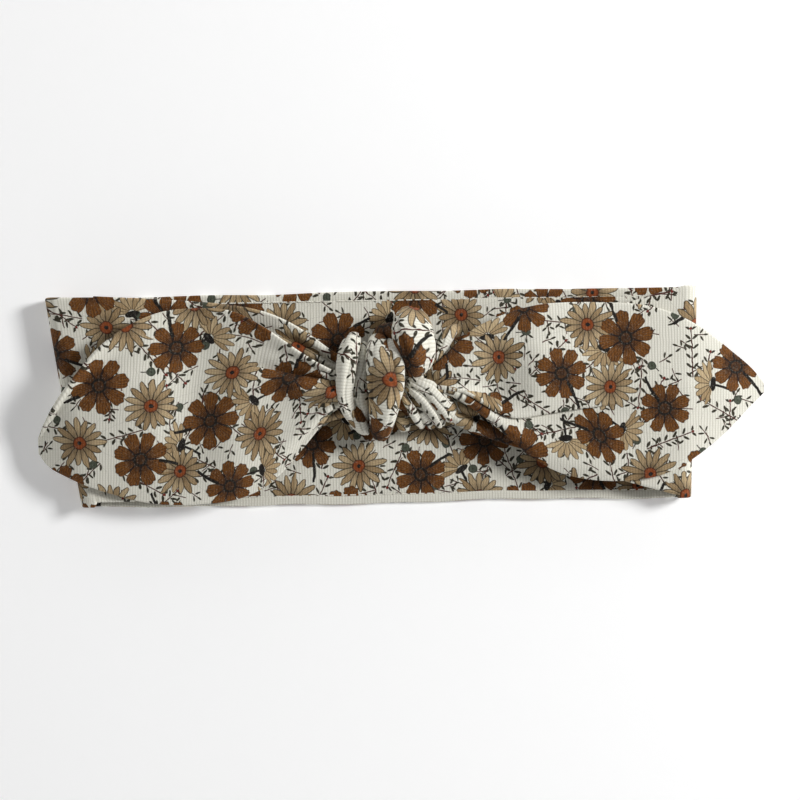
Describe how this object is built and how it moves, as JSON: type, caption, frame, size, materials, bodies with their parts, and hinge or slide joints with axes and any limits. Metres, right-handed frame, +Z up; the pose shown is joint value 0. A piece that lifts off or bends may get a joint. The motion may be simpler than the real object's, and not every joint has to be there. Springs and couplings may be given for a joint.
{
  "type": "knotted headband",
  "caption": "Knotted headband of printed rib knit: a flat double-ply loop tied at the front, with gathered arms and leaf-shaped tails that lift.",
  "frame": {"origin": "the middle of the headband's outline on the table, under the knot, on the surface that its back lies on", "axes": "+X along the flat loop towards the pointed tail, +Y across the strip towards the top edge, +Z up from the table"},
  "size_m": [0.218, 0.064, 0.021],
  "materials": {
    "printed_rib_knit": "matte ivory rib knit with a brown and tan floral print",
    "lining_knit": "the same printed rib knit, on the inner side of the strip",
    "stitching_thread": "matte spun polyester thread"
  },
  "bodies": {
    "back_centre": {"back_centre_outer": "printed_rib_knit", "back_centre_lining": "lining_knit", "back_centre_stitches": "stitching_thread"},
    "back_left": {"back_left_outer": "printed_rib_knit", "back_left_lining": "lining_knit", "back_left_stitches": "stitching_thread", "left_fold_outer": "printed_rib_knit", "left_fold_lining": "lining_knit"},
    "back_right": {"back_right_outer": "printed_rib_knit", "back_right_lining": "lining_knit", "back_right_stitches": "stitching_thread", "right_fold_outer": "printed_rib_knit", "right_fold_lining": "lining_knit"},
    "left_arm": {"left_arm_outer": "printed_rib_knit", "left_arm_lining": "lining_knit"},
    "right_arm": {"right_arm_outer": "printed_rib_knit", "right_arm_lining": "lining_knit"},
    "knot": {"knot_core": "printed_rib_knit", "knot_centre_wrap": "printed_rib_knit", "knot_left_wrap": "printed_rib_knit", "knot_upper_bight": "printed_rib_knit", "knot_lower_fan": "printed_rib_knit", "left_tail_neck": "printed_rib_knit", "right_tail_neck": "printed_rib_knit"},
    "left_tail": {"left_tail_outer": "printed_rib_knit", "left_tail_lining": "lining_knit"},
    "right_tail": {"right_tail_outer": "printed_rib_knit", "right_tail_lining": "lining_knit"}
  },
  "joints": [
    {"name": "loop_opening", "type": "hinge", "parent": "back_centre", "child": "back_left", "pos_m": [-0.02, 0, 0.0016], "axis": [0, 1, 0], "range_deg": [0, 45]},
    {"name": "left_fold_opening", "type": "hinge", "parent": "back_left", "child": "left_arm", "pos_m": [-0.092, 0, 0.0042], "axis": [0, -1, 0], "range_deg": [0, 90], "deforming": ["left_fold_outer", "left_fold_lining"]},
    {"name": "left_knot_hinge", "type": "hinge", "parent": "left_arm", "child": "knot", "pos_m": [-0.02, 0, 0.0068], "axis": [0, 1, 0], "range_deg": [0, 45]},
    {"name": "right_back_opening", "type": "hinge", "parent": "back_centre", "child": "back_right", "pos_m": [0.01, 0, 0.0016], "axis": [0, -1, 0], "range_deg": [0, 45]},
    {"name": "right_fold_opening", "type": "hinge", "parent": "back_right", "child": "right_arm", "pos_m": [0.082, 0, 0.0042], "axis": [0, 1, 0], "range_deg": [0, 90], "deforming": ["right_fold_outer", "right_fold_lining"]},
    {"name": "left_tail_lift", "type": "hinge", "parent": "knot", "child": "left_tail", "pos_m": [-0.02, 0, 0.01579], "axis": [0, 1, 0], "range_deg": [0, 75]},
    {"name": "right_tail_lift", "type": "hinge", "parent": "knot", "child": "right_tail", "pos_m": [0.0187, 0, 0.01555], "axis": [0, -1, 0], "range_deg": [0, 75]}
  ],
  "couplings": [
    {"joint": "left_fold_opening", "follows": "loop_opening", "ratio": 2},
    {"joint": "left_knot_hinge", "follows": "loop_opening", "ratio": 1},
    {"joint": "right_back_opening", "follows": "loop_opening", "ratio": 1},
    {"joint": "right_fold_opening", "follows": "loop_opening", "ratio": 2}
  ]
}
